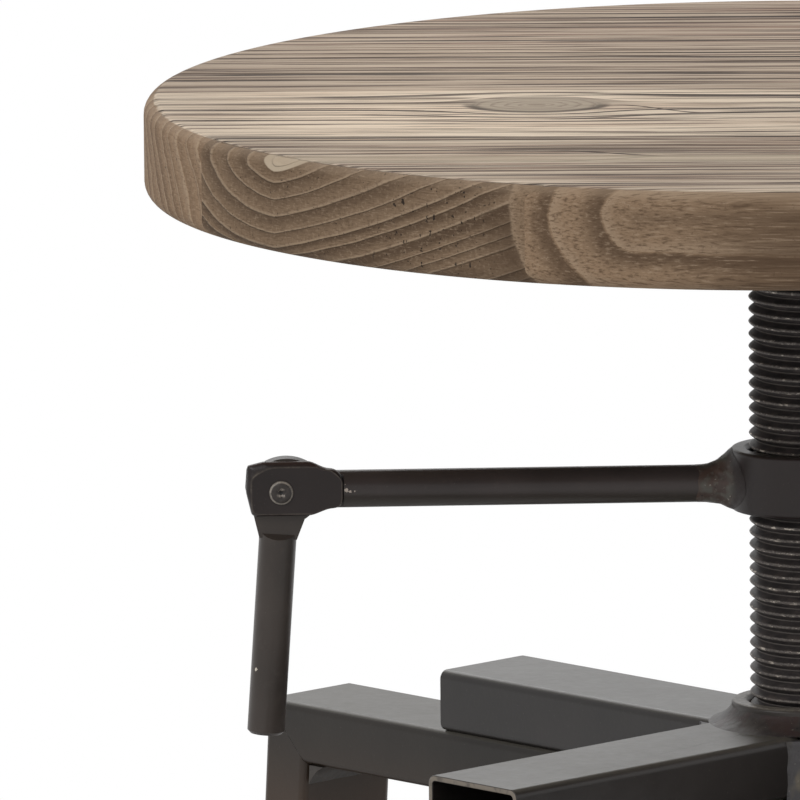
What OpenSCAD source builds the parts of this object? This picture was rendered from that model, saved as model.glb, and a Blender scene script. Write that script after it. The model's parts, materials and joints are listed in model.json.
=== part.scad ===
// Adjustable bar stool: a round seat of glued staves on a lift screw, locked by a ring nut with a
// folding crank, on crossed rectangular tubes with four splayed legs and a square footrest.
// Z is up, the front is -Y, and the origin is on the floor under the axis of the screw.

/* [Seat] */
// Diameter of the wooden seat
seat_d = 330.2; // [300:0.1:380]
// Thickness of the wooden seat
seat_t = 24.6; // [20:0.1:35]
// Radius of the rounding on the seat's upper and lower edges
seat_round = 4; // [1:0.5:8]
// Width of one stave
stave_w = 78; // [60:1:85]
// Width of the narrow stave at the front edge
front_stave_w = 14; // [10:1:40]
// Height of the seat's underside over the top of the cross bars, at rest
seat_gap = 136.8; // [130:0.1:180]

/* [Seat plate] */
// Diameter of the steel plate under the seat
plate_d = 150; // [120:1:200]
// Thickness of the steel plate
plate_t = 5; // [3:0.5:6]
// Distance from the plate's edge to a wood screw's centre
plate_screw_inset = 15; // [10:1:25]
// Shank diameter of a wood screw
wood_screw_d = 4.2; // [3:0.1:5]
// Length of a wood screw under its head
wood_screw_l = 20; // [14:1:22]
// Head diameter of a wood screw
wood_screw_head_d = 8.4; // [7:0.1:10]
// Head height of a wood screw
wood_screw_head_h = 2.6; // [1.5:0.1:3]
// Diameter of the flat face of a wood screw's tapered head
wood_screw_face_d = 5.9; // [4.6:0.1:6.8]
// Length of the cross recess in that face
recess_l = 4.2; // [2:0.1:4.4]
// Width of the cross recess
recess_w = 0.8; // [0.4:0.1:1.2]
// Depth of the cross recess
recess_depth = 1.2; // [0.5:0.1:1.4]
// Leg of the weld between the plate and the lift screw
plate_weld_leg = 5; // [3:0.5:6]

/* [Lift screw] */
// Crest diameter of the lift screw
screw_d = 25.4; // [22:0.1:25.6]
// Pitch of the thread
pitch = 3.175; // [2.5:0.005:4]
// Depth of the thread
thread_depth = 1.7; // [1:0.1:1.9]
// Turns of lift from rest until the stop washer meets the rails
turns_up = 28; // [10:1:40]
// Diameter of the stop washer
washer_d = 38; // [34:0.5:50]
// Thickness of the stop washer
washer_t = 4; // [2:0.5:6]
// Thread diameter of the bolt that holds the stop washer
bolt_d = 8; // [6:1:12]
// Length of that bolt inside the screw
bolt_l = 22; // [15:1:30]
// Diameter of that bolt's hexagonal head across its corners
bolt_head_d = 15; // [14:0.5:20]
// Height of the bolt's head
bolt_head_h = 5.3; // [4:0.1:8]

/* [Lock nut] */
// Outer diameter of the lock nut
nut_d = 34.9; // [32:0.1:45]
// Height of the lock nut
nut_h = 15.8; // [12:0.1:22]
// Gap between the lock nut and the hub, at rest
nut_gap = 49; // [20:0.1:50]
// Chamfer at the mouths of the threaded bores
bore_chamfer = 1; // [0.5:0.1:2]
// Chamfer on the outer rims of the lock nut and the hub
rim_chamfer = 0.6; // [0.3:0.1:1]

/* [Crank] */
// Distance from the screw's axis to the fold pin
crank_reach = 131.5; // [122:0.5:150]
// Diameter of the crank's round bar
crank_rod_d = 9.525; // [8:0.005:12]
// Height of the lock nut's middle over the bar's axis
crank_drop = 1.2; // [0:0.1:1.5]
// Angle of the crank from the left towards the front, in degrees
crank_turn = 3.6; // [0:0.1:30]
// Length of the weld flare at the lock nut
crank_weld_l = 9.5; // [5:0.5:15]
// Thickness of one cheek plate
cheek_t = 2.5; // [1.5:0.1:4]
// Reach of a cheek past the pin, away from the screw
cheek_out = 8.9; // [7:0.1:9.2]
// Reach of a cheek from the pin towards the screw
cheek_in = 15.8; // [13:0.1:22]
// Height of the front cheek above the pin
cheek_up = 7.7; // [6.5:0.1:8.4]
// How much lower the back cheek's top is
back_drop = 1.5; // [0:0.1:2]
// Height of a cheek below the pin
cheek_down = 6.2; // [5:0.1:6.6]
// Distance from the pin at which a cheek starts to narrow towards the screw
cheek_waist = 6.5; // [4:0.1:8]
// How much a cheek narrows, above and below, at its end near the screw
cheek_taper = 1.9; // [0:0.1:2.2]
// How much lower a cheek's outer corner is than its top
corner_drop = 1; // [0.4:0.1:3]
// How far that corner leans in
corner_in = 0.4; // [0:0.1:2]
// Radius of a cheek's upper corner near the screw
cheek_round = 3.7; // [2:0.1:4]
// Radius of a cheek's lower corner near the screw
cheek_low_round = 2.4; // [1:0.1:3]
// Radius of a cheek's lower corner away from the screw
cheek_toe_round = 1.2; // [0.5:0.1:2]
// Diameter of the fold pin
pin_d = 5; // [3:0.1:6]
// Diameter of the pin's riveted heads
pin_head_d = 6.4; // [6.3:0.1:8]
// Height of the pin's riveted heads
pin_head_h = 0.9; // [0.7:0.1:2]
// Chamfer on the pin's heads
pin_head_chamfer = 0.5; // [0.2:0.1:0.6]

/* [Handle] */
// Length of the handle from the pin to its end
handle_l = 62.8; // [40:0.1:64]
// Diameter of the handle's round bar
handle_d = 9.525; // [8:0.005:12]
// Chamfer on the handle's free end
handle_end_chamfer = 0.8; // [0.3:0.1:2]
// Thickness of the tongue between the cheeks
tongue_t = 4.7; // [3:0.1:6]
// Radius of the tongue's round end
tongue_r = 8.4; // [7:0.1:8.8]
// How much nearer to the screw than the pin the middle of that end is
tongue_shift = 1.6; // [0:0.1:2]
// Radius of the tongue's flatter top
dome_r = 11.4; // [9:0.1:14]
// Width of that top
dome_w = 12; // [8:0.1:12.4]
// Distance from the pin to the step where the round bar starts
tongue_l = 11.1; // [10.5:0.1:16]
// Half the tongue's width beside the pin, from where its sides run straight to the bar
neck_w = 8.6; // [6:0.1:8.8]
// Distance from the pin to where those sides meet the bar
neck_l = 12.3; // [11.5:0.1:17]
// Slope of that step, in degrees
step_slope = 26; // [0:1:40]
// Outward tilt of the hanging handle, in degrees
handle_hang = 4; // [0:0.1:10]

/* [Frame] */
// Height of the cross bars' top over the floor
frame_h = 530.3; // [400:0.1:650]
// Width of the frame tube
tube_w = 31.75; // [30:0.25:38]
// Height of the frame tube
tube_h = 15.875; // [12:0.125:20]
// Wall of the frame tube
tube_wall = 1.5; // [1:0.1:1.7]
// Outer corner radius of the frame tube
tube_round = 2.3; // [1:0.1:3]
// Inner corner radius of the frame tube
tube_inner_round = 1; // [0.3:0.1:2]
// Distance from the axis to the open end of a cross bar
cross_reach = 115.7; // [80:0.1:118]
// Distance from the axis to a rail's outer upper corner
rail_reach = 181.8; // [165:0.1:220]
// Outward splay of the legs, in degrees
splay = 4.1; // [0:0.1:10]
// Leg of the fillet welds on the frame
frame_weld_leg = 5; // [3:0.5:6]

/* [Hub] */
// Outer diameter of the threaded hub
hub_d = 34.9; // [32:0.1:42]
// Height of the hub above the cross bars
hub_above = 5.8; // [5:0.1:15]
// Radial clearance of the screw in the rails below the hub
rail_clear = 0.5; // [0.2:0.1:0.7]
// Width of the weld around the hub
hub_weld_w = 6.4; // [3:0.1:8]
// Height of the weld around the hub
hub_weld_h = 4.5; // [3:0.1:5]

/* [Footrest and feet] */
// Height of the footrest's top over the floor
footrest_z = 245; // [120:1:340]
// Thickness of a footrest bar, front to back
footrest_t = 10; // [6:0.5:10.5]
// Height of a footrest bar
footrest_h = 25; // [15:1:40]
// Height of a foot's pad
foot_h = 6; // [3:0.5:12]
// How far a foot's pad stands out past the tube
foot_lip = 1.5; // [0.5:0.1:4]
// Corner radius of a foot's pad
foot_round = 3; // [1:0.5:6]
// Length of a foot's plug inside the leg
plug_l = 16; // [8:1:30]

/* [Hidden] */

stave_count = 5;
wood_screw_count = 6;

$fn = 96;
wood = "#8f7f70";
paint = "#4a4644";
steel = "#3b3836";
weld_steel = "#5b5652";
plastic = "#1d1c1b";

// Gap round a piece that sits in its own hole or under its own weld
snug = 0.05;
// Radial gap between the screw's crests and a threaded bore
thread_fit = 0.15;
// Radial gap between the fold pin and its holes
pin_fit = 0.05;
// Gap on each side of the tongue
tongue_fit = 0.1;
// Gap between pieces that turn against each other
turn_gap = 0.3;
// Gap on each side of a foot's plug inside the leg
plug_fit = 0.2;
// Gap left between the stop washer and the rails at full height
stop_gap = 0.3;
// How far a cutting shape runs past what it cuts
past = 1;

seat_r = seat_d / 2;
screw_r = screw_d / 2;
bore_r = screw_r + thread_fit;
rod_r = crank_rod_d / 2;
handle_r = handle_d / 2;
wood_screw_circle_r = plate_d / 2 - plate_screw_inset;

// Heights over the floor
cross_bottom = frame_h - tube_h;
rail_top = cross_bottom;
rail_bottom = rail_top - tube_h;
hub_top = frame_h + hub_above;
hub_bottom = rail_top;
seat_bottom = frame_h + seat_gap;
plate_bottom = seat_bottom - plate_t;
nut_bottom = hub_top + nut_gap;
crank_z = nut_bottom + nut_h / 2 - crank_drop;
screw_end = rail_bottom - stop_gap - turns_up * pitch;
washer_top = screw_end - snug;
washer_bottom = washer_top - washer_t;
bolt_head_top = washer_bottom - snug;

// Angle where a cheek's lower outer corner ends
toe_end = 340;
// Middle of the circle along the tongue's flatter top, and the height of that top's ends
dome_middle = tongue_r - dome_r;
dome_end = dome_middle + sqrt(dome_r ^ 2 - (dome_w / 2) ^ 2);
// Room the tongue takes up on the screw's side as it folds
swing_r = max(tongue_r + tongue_shift, norm([tongue_shift + dome_w / 2, dome_end]));
// Steps in the curves where a cheek narrows
curve_steps = 8;

// Share of a pitch taken by the crest, and by each flank
crest_share = 0.3;
flank_share = 0.27;
thread_length = plate_bottom - screw_end;
thread_count = floor(thread_length / pitch) - 2;

// Directions of the four legs from the axis, in degrees from +X
BACK_LEFT = 135;
FRONT_LEFT = 225;
FRONT_RIGHT = 315;
BACK_RIGHT = 45;
LEGS = [BACK_LEFT, FRONT_LEFT, FRONT_RIGHT, BACK_RIGHT];

// Distance from the axis to a leg's outer and inner face at height z
function leg_out(z) = rail_reach + (rail_top - z) * tan(splay);
function leg_in(z) = leg_out(z) - tube_h / cos(splay);

// Points of an arc about c, from angle a to angle b
function arc(c, r, a, b, steps = curve_steps) =
    [for (i = [0 : steps]) c + r * [cos(a + (b - a) * i / steps), sin(a + (b - a) * i / steps)]];

// A concave fillet in the corner at the origin, with legs along +X and +Y
function fillet(w, h, steps = curve_steps) =
    concat([[0, 0]], [for (i = [0 : steps]) let (a = 270 - 90 * i / steps)
        [w + w * cos(a), h + h * sin(a)]]);

module rounded_rect(w, h, r) {
    square([w - 2 * r, h], center = true);
    square([w, h - 2 * r], center = true);
    for (x = [-1, 1], y = [-1, 1])
        translate([x * (w / 2 - r), y * (h / 2 - r)]) circle(r);
}

// Seat

module seat_disc() {
    rotate_extrude($fn = 180)
        translate([0, seat_bottom])
            union() {
                square([seat_r - seat_round, seat_t]);
                translate([0, seat_round]) square([seat_r, seat_t - 2 * seat_round]);
                for (z = [seat_round, seat_t - seat_round])
                    translate([seat_r - seat_round, z]) circle(seat_round);
            }
}

module at_wood_screws() {
    step = 360 / wood_screw_count;
    for (i = [0 : wood_screw_count - 1])
        rotate((i + 0.5) * step) translate([wood_screw_circle_r, 0, 0]) children();
}

// Stave i, counted from the front
module stave(i) {
    front = i == 0 ? -seat_r - past : -seat_r + front_stave_w + (i - 1) * stave_w;
    back = i == stave_count - 1 ? seat_r + past : -seat_r + front_stave_w + i * stave_w;
    color(wood)
        difference() {
            intersection() {
                seat_disc();
                translate([-seat_r - past, front, seat_bottom - past])
                    cube([seat_d + 2 * past, back - front, seat_t + 2 * past]);
            }
            at_wood_screws()
                translate([0, 0, plate_bottom])
                    cylinder(d = wood_screw_d + 2 * snug, h = wood_screw_l + snug);
        }
}

module seat_plate() {
    color(paint)
        difference() {
            translate([0, 0, plate_bottom]) cylinder(d = plate_d, h = plate_t);
            at_wood_screws()
                translate([0, 0, plate_bottom - past])
                    cylinder(d = wood_screw_d + 2 * snug, h = plate_t + 2 * past);
        }
}

module wood_screws() {
    color(steel)
        at_wood_screws()
            translate([0, 0, plate_bottom]) {
                cylinder(d = wood_screw_d, h = wood_screw_l);
                translate([0, 0, -wood_screw_head_h])
                    difference() {
                        cylinder(d1 = wood_screw_face_d, d2 = wood_screw_head_d, h = wood_screw_head_h);
                        for (turn = [0, 90])
                            rotate(turn) cube([recess_l, recess_w, 2 * recess_depth], center = true);
                    }
            }
}

module plate_weld() {
    color(weld_steel)
        translate([0, 0, plate_bottom])
            rotate_extrude()
                translate([screw_r + snug, 0])
                    mirror([0, 1]) polygon(fillet(plate_weld_leg, plate_weld_leg));
}

// Lift screw

// One groove of the thread, with its lower edge at height z
function thread_points(r, z) = [
    [r, z],
    [r - thread_depth, z + flank_share * pitch],
    [r - thread_depth, z + (1 - crest_share - flank_share) * pitch],
    [r, z + (1 - crest_share) * pitch]
];

module lift_screw() {
    lead = thread_depth;
    color(steel)
        difference() {
            rotate_extrude()
                polygon(concat(
                    [[0, screw_end], [screw_r - lead, screw_end], [screw_r, screw_end + lead]],
                    [for (i = [0 : thread_count - 1])
                        each thread_points(screw_r, screw_end + lead + (i + crest_share) * pitch)],
                    [[screw_r, plate_bottom], [0, plate_bottom]]));
            translate([0, 0, screw_end - past]) cylinder(d = bolt_d + 2 * snug, h = bolt_l + past + snug);
        }
}

module stop_bolt() {
    color(steel) {
        translate([0, 0, bolt_head_top]) cylinder(d = bolt_d, h = screw_end + bolt_l - bolt_head_top);
        translate([0, 0, bolt_head_top - bolt_head_h])
            cylinder(d = bolt_head_d, h = bolt_head_h, $fn = 6);
    }
}

module stop_washer() {
    color(steel)
        difference() {
            translate([0, 0, washer_bottom]) cylinder(d = washer_d, h = washer_t);
            translate([0, 0, washer_bottom - past])
                cylinder(d = bolt_d + 2 * turn_gap, h = washer_t + 2 * past);
        }
}

// A ring with a threaded bore for the lift screw, chamfered at both mouths and on its rims
module threaded_ring(d, low, high) {
    rim = rim_chamfer;
    rotate_extrude()
        polygon([
            [bore_r, low + bore_chamfer], [bore_r + bore_chamfer, low],
            [d / 2 - rim, low], [d / 2, low + rim],
            [d / 2, high - rim], [d / 2 - rim, high],
            [bore_r + bore_chamfer, high], [bore_r, high - bore_chamfer]
        ]);
}

module lock_nut() {
    color(paint) threaded_ring(nut_d, nut_bottom, nut_bottom + nut_h);
}

// Crank: its parts are drawn along +X from the screw's axis and turned into place

module crank_frame() {
    rotate(180 + crank_turn) translate([0, 0, crank_z]) children();
}

module round_the_nut() {
    translate([0, 0, -nut_h]) cylinder(d = nut_d + 2 * turn_gap, h = 2 * nut_h);
}

// The arm's bar is flattened at its end, where the cheeks lie on its flats
module crank_arm() {
    tab_end = crank_reach - swing_r - turn_gap;
    tab_start = crank_reach - cheek_in - snug;
    color(paint)
        crank_frame()
            difference() {
                rotate([0, 90, 0]) cylinder(r = rod_r, h = tab_end);
                round_the_nut();
                for (side = [-1, 1])
                    translate([tab_start + cheek_in / 2, side * (tongue_t / 2 + tongue_fit + rod_r), 0])
                        cube([cheek_in, 2 * rod_r, 2 * (rod_r + past)], center = true);
            }
}

module crank_weld() {
    flare = nut_h / 2 - crank_drop - rod_r - turn_gap;
    start = nut_d / 2;
    color(weld_steel)
        crank_frame()
            difference() {
                rotate([0, 90, 0])
                    rotate_extrude()
                        polygon(concat(
                            [[rod_r + snug, start - rod_r]],
                            [for (p = fillet(flare, crank_weld_l)) if (p != [0, 0])
                                [rod_r + 2 * snug + p[0], start + p[1]]],
                            [[rod_r + snug, start + crank_weld_l]]));
                round_the_nut();
            }
}

// Points of a smooth curve from the waist, at height z, to x = end, where it has moved in by drop
function narrowing(end, z, drop, counts) =
    [for (i = counts) let (t = i / curve_steps)
        [end * t - cheek_waist * (1 - t), z - drop * t * t * (3 - 2 * t)]];

// Outline of a cheek plate, with the pin at the origin, the screw towards -X and its top at height up
function cheek_outline(up) = concat(
    [[cheek_out, 0], [cheek_out - corner_in, up - corner_drop], [cheek_out / 2, up]],
    narrowing(cheek_round - cheek_in, up, cheek_taper, [0 : curve_steps]),
    arc([cheek_round - cheek_in, up - cheek_taper - cheek_round], cheek_round, 90, 180),
    arc([cheek_low_round - cheek_in, cheek_taper + cheek_low_round - cheek_down],
        cheek_low_round, 180, 270),
    narrowing(cheek_low_round - cheek_in, -cheek_down, -cheek_taper, [curve_steps : -1 : 0]),
    arc([cheek_out - 2 * cheek_toe_round, cheek_toe_round - cheek_down], cheek_toe_round, 270, toe_end));

// A cheek plate on one side of the tongue: side is 1 for the front
module cheek(side) {
    color(paint)
        crank_frame()
            translate([crank_reach, side * (tongue_t / 2 + tongue_fit + cheek_t / 2), 0])
                rotate([90, 0, 0])
                    linear_extrude(cheek_t, center = true)
                        difference() {
                            polygon(cheek_outline(side > 0 ? cheek_up : cheek_up - back_drop));
                            circle(d = pin_d + 2 * pin_fit);
                        }
}

module fold_pin() {
    half = tongue_t / 2 + tongue_fit + cheek_t;
    end = half + pin_head_h;
    head_r = pin_head_d / 2;
    color(steel)
        crank_frame()
            translate([crank_reach, 0, 0])
                rotate([90, 0, 0])
                    rotate_extrude()
                        polygon([
                            [0, -end], [head_r - pin_head_chamfer, -end],
                            [head_r, pin_head_chamfer - end], [head_r, -half],
                            [pin_d / 2, -half], [pin_d / 2, half],
                            [head_r, half], [head_r, end - pin_head_chamfer],
                            [head_r - pin_head_chamfer, end], [0, end]
                        ]);
}

// Outline of the tongue, seen from the front
module tongue_outline() {
    translate([-tongue_shift, 0]) {
        circle(tongue_r);
        intersection() {
            translate([0, dome_middle]) circle(dome_r);
            translate([-dome_w / 2, 0]) square([dome_w, tongue_r]);
        }
    }
    polygon([[-neck_w, 0], [neck_w, 0], [handle_r, -neck_l], [-handle_r, -neck_l]]);
}

// The handle hangs along -Z from the pin and is flattened to a tongue at the top
module crank_handle() {
    end_r = handle_r - handle_end_chamfer;
    color(paint)
        crank_frame()
            translate([crank_reach, 0, 0])
                rotate([0, -handle_hang, 0])
                    difference() {
                        union() {
                            across(tongue_t) tongue_outline();
                            intersection() {
                                rotate_extrude()
                                    polygon([
                                        [0, 0], [handle_r, 0], [handle_r, handle_end_chamfer - handle_l],
                                        [end_r, -handle_l], [0, -handle_l]
                                    ]);
                                union() {
                                    translate([-handle_r, -tongue_t / 2, -tongue_l - handle_r])
                                        cube([handle_d, tongue_t, tongue_l + handle_r]);
                                    handle_bar_space();
                                }
                            }
                        }
                        rotate([90, 0, 0])
                            cylinder(d = pin_d + 2 * pin_fit, h = handle_d, center = true);
                    }
}

// Where the handle keeps its full round bar: below a step that slopes down from the tongue
module handle_bar_space() {
    drop = (handle_r + past) * tan(step_slope);
    half = tongue_t / 2;
    rotate([90, 0, 90])
        linear_extrude(handle_d + 2 * past, center = true)
            polygon([
                [-half, -tongue_l], [half, -tongue_l],
                [half + handle_r + past, -tongue_l - drop],
                [half + handle_r + past, -handle_l - past],
                [-half - handle_r - past, -handle_l - past],
                [-half - handle_r - past, -tongue_l - drop]
            ]);
}

// Hub

module hub() {
    color(paint) threaded_ring(hub_d, hub_bottom, hub_top);
}

module hub_hole() {
    translate([0, 0, hub_bottom - past])
        cylinder(d = hub_d + 2 * snug, h = hub_top - hub_bottom + 2 * past);
}

module hub_weld() {
    color(weld_steel)
        translate([0, 0, frame_h])
            rotate_extrude()
                translate([hub_d / 2 + snug, 0]) polygon(fillet(hub_weld_w, hub_weld_h));
}

// Tubes: each is drawn along +X from the screw's axis and turned into place

module tube_section() {
    difference() {
        rounded_rect(tube_w, tube_h, tube_round);
        rounded_rect(tube_w - 2 * tube_wall, tube_h - 2 * tube_wall, tube_inner_round);
    }
}

// A level tube from x = start to x = end, with its top at height top
module level_tube(start, end, top) {
    translate([start, 0, top - tube_h / 2])
        rotate([90, 0, 90]) linear_extrude(end - start) tube_section();
}

// Stretches an outline drawn in X and Z across the tube's width
module across(width) {
    rotate([90, 0, 0]) linear_extrude(width, center = true) children();
}

// An upper arm of the cross: the back-left and front-right ones run up to the hub, and the other
// two start at the sides of those
module cross_arm(turn, start) {
    color(paint)
        difference() {
            rotate(turn) level_tube(start, cross_reach, frame_h);
            hub_hole();
        }
}

// Ends of the mitre between a rail and its leg, in X and Z
outer_corner = [rail_reach, rail_top];
inner_corner = [leg_in(rail_bottom), rail_bottom];
mitre_run = (outer_corner - inner_corner) / norm(outer_corner - inner_corner) * tube_h;

// The side of the mitre that belongs to the rail, from x = start outwards
module rail_side(start) {
    across(tube_w + 2 * past)
        polygon([
            [start, rail_bottom - tube_h], inner_corner - mitre_run,
            outer_corner + mitre_run, [start, rail_top + tube_h]
        ]);
}

module rail_long() {
    color(paint)
        difference() {
            rotate(BACK_LEFT)
                intersection() {
                    level_tube(-rail_reach - tube_h, rail_reach + tube_h, rail_top);
                    union() {
                        rail_side(-past);
                        rotate(180) rail_side(-past);
                    }
                }
            translate([0, 0, rail_bottom - past])
                cylinder(r = screw_r + rail_clear, h = tube_h + 2 * past);
        }
}

module rail_half(turn) {
    color(paint)
        rotate(turn)
            intersection() {
                level_tube(tube_w / 2, rail_reach + tube_h, rail_top);
                rail_side(tube_w / 2 - past);
            }
}

// A shape drawn about a leg's centre line, pointing down from the rail's outer corner
module along_leg() {
    translate([rail_reach, 0, rail_top])
        rotate([0, -splay, 0]) translate([-tube_h / 2, 0, 0]) children();
}

module leg(turn) {
    reach = rail_top / cos(splay) + tube_h;
    color(paint)
        rotate(turn)
            intersection() {
                along_leg()
                    translate([0, 0, -reach])
                        rotate(90) linear_extrude(reach + 2 * tube_h) tube_section();
                across(tube_w + 2 * past)
                    polygon([
                        outer_corner + mitre_run, inner_corner - mitre_run,
                        [leg_in(foot_h) - 2 * tube_h, foot_h], [leg_out(foot_h) + 2 * tube_h, foot_h]
                    ]);
            }
}

// Vertical fillets in the four inner corners of the crossed tubes, a little short of their faces
module cross_welds() {
    margin = 0.5;
    color(weld_steel)
        for (turn = LEGS)
            rotate(turn)
                translate([tube_w / 2, tube_w / 2, rail_bottom + margin])
                    linear_extrude(2 * tube_h - 2 * margin)
                        difference() {
                            polygon(fillet(frame_weld_leg, frame_weld_leg));
                            translate([-tube_w / 2, -tube_w / 2]) circle(d = hub_d + 2 * snug);
                        }
}

// Beads in the inner corners between the rails and the legs, slanted with the legs' faces
module corner_welds() {
    color(weld_steel)
        for (turn = LEGS)
            rotate(turn)
                across(tube_w - 2 * tube_round)
                    polygon([for (p = fillet(frame_weld_leg, frame_weld_leg))
                        inner_corner + [p[1] * tan(splay) - p[0], -p[1]]]);
}

// Footrest: four bars that meet in pairs on the inner faces of the legs

// The side of a leg's inner face that the axis is on
module inside_leg(turn) {
    low = footrest_z - 2 * footrest_h;
    high = footrest_z + footrest_h;
    rotate(turn)
        across(4 * rail_reach)
            polygon([[-rail_reach, low], [leg_in(low), low], [leg_in(high), high], [-rail_reach, high]]);
}

// Distance from the axis to a footrest bar's inner side
footrest_in = leg_in(footrest_z) / sqrt(2);

// The quarter of the plan that holds the front bar, up to its mitres with the side bars
module front_quarter() {
    reach = 2 * rail_reach;
    translate([0, 0, footrest_z - 2 * footrest_h])
        linear_extrude(3 * footrest_h) polygon([[0, 0], [-reach, -reach], [reach, -reach]]);
}

module footrest_bar(turn) {
    color(paint)
        rotate(turn)
            intersection() {
                front_quarter();
                translate([-rail_reach, -footrest_in - footrest_t / 2, footrest_z - footrest_h / 2])
                    rotate([90, 0, 90])
                        linear_extrude(2 * rail_reach)
                            difference() {
                                rounded_rect(footrest_t, footrest_h, tube_round);
                                rounded_rect(footrest_t - 2 * tube_wall, footrest_h - 2 * tube_wall,
                                    tube_inner_round);
                            }
                inside_leg(FRONT_LEFT);
                inside_leg(FRONT_RIGHT);
            }
}

// Vertical fillets where two footrest bars meet
module footrest_welds() {
    color(weld_steel)
        for (turn = LEGS)
            rotate(turn)
                translate([sqrt(2) * footrest_in, 0, footrest_z - footrest_h + tube_round])
                    rotate(135)
                        linear_extrude(footrest_h - 2 * tube_round)
                            polygon(fillet(frame_weld_leg, frame_weld_leg));
}

module foot(turn) {
    middle = (leg_out(foot_h) + leg_in(foot_h)) / 2;
    plug_depth = tube_h - 2 * (tube_wall + plug_fit);
    color(plastic)
        rotate(turn) {
            translate([middle, 0, 0])
                rotate(90)
                    linear_extrude(foot_h)
                        rounded_rect(tube_w + 2 * foot_lip, tube_h / cos(splay) + 2 * foot_lip,
                            foot_round);
            intersection() {
                along_leg()
                    translate([0, 0, -rail_top / cos(splay)])
                        rotate(90)
                            linear_extrude(rail_top)
                                square([tube_w - 2 * (tube_wall + plug_fit), plug_depth], center = true);
                translate([middle - tube_h, -tube_w, foot_h / 2])
                    cube([2 * tube_h, 2 * tube_w, foot_h / 2 + plug_l]);
            }
        }
}

stave(0);  // seat_stave_1
stave(1);  // seat_stave_2
stave(2);  // seat_stave_3
stave(3);  // seat_stave_4
stave(4);  // seat_stave_5
seat_plate();
wood_screws();
plate_weld();
lift_screw();
stop_bolt();
stop_washer();
lock_nut();
crank_arm();
crank_weld();
cheek(1);  // cheek_front
cheek(-1);  // cheek_back
fold_pin();
crank_handle();
hub();
hub_weld();
cross_arm(BACK_LEFT, 0);  // cross_arm_back_left
cross_arm(FRONT_LEFT, tube_w / 2);  // cross_arm_front_left
cross_arm(FRONT_RIGHT, 0);  // cross_arm_front_right
cross_arm(BACK_RIGHT, tube_w / 2);  // cross_arm_back_right
cross_welds();
rail_long();
rail_half(FRONT_LEFT);  // rail_front
rail_half(BACK_RIGHT);  // rail_back
corner_welds();
leg(BACK_LEFT);  // leg_back_left
leg(FRONT_LEFT);  // leg_front_left
leg(FRONT_RIGHT);  // leg_front_right
leg(BACK_RIGHT);  // leg_back_right
footrest_bar(0);  // footrest_front
footrest_bar(90);  // footrest_right
footrest_bar(180);  // footrest_back
footrest_bar(270);  // footrest_left
footrest_welds();
foot(BACK_LEFT);  // foot_back_left
foot(FRONT_LEFT);  // foot_front_left
foot(FRONT_RIGHT);  // foot_front_right
foot(BACK_RIGHT);  // foot_back_right
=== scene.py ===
"""Looks of the adjustable bar stool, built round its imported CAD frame."""

import math
from types import SimpleNamespace

import bmesh
import bpy
import numpy as np
from mathutils import Matrix, Vector, noise
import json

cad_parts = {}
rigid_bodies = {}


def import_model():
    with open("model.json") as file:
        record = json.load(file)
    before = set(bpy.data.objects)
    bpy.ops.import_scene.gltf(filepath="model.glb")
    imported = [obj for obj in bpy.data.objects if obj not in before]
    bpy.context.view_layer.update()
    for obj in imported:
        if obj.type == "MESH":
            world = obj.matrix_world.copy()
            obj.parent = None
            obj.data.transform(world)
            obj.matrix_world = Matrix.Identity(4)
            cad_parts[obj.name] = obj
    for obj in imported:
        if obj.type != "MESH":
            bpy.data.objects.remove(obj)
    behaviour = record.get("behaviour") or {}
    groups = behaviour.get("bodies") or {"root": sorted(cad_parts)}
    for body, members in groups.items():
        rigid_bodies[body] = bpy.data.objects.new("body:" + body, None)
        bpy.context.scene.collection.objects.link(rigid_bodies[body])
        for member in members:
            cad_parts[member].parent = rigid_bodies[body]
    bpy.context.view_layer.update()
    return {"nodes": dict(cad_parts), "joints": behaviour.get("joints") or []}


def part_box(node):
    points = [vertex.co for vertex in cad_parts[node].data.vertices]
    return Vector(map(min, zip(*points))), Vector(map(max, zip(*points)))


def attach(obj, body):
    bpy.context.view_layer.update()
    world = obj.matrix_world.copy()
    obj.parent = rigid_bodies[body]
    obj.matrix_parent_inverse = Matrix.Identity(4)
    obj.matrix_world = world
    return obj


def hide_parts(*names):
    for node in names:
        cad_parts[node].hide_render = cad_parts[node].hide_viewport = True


for old in list(bpy.data.objects):
    bpy.data.objects.remove(old)

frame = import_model()
nodes = frame["nodes"]
MM = 0.001


# Shader helpers


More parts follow.
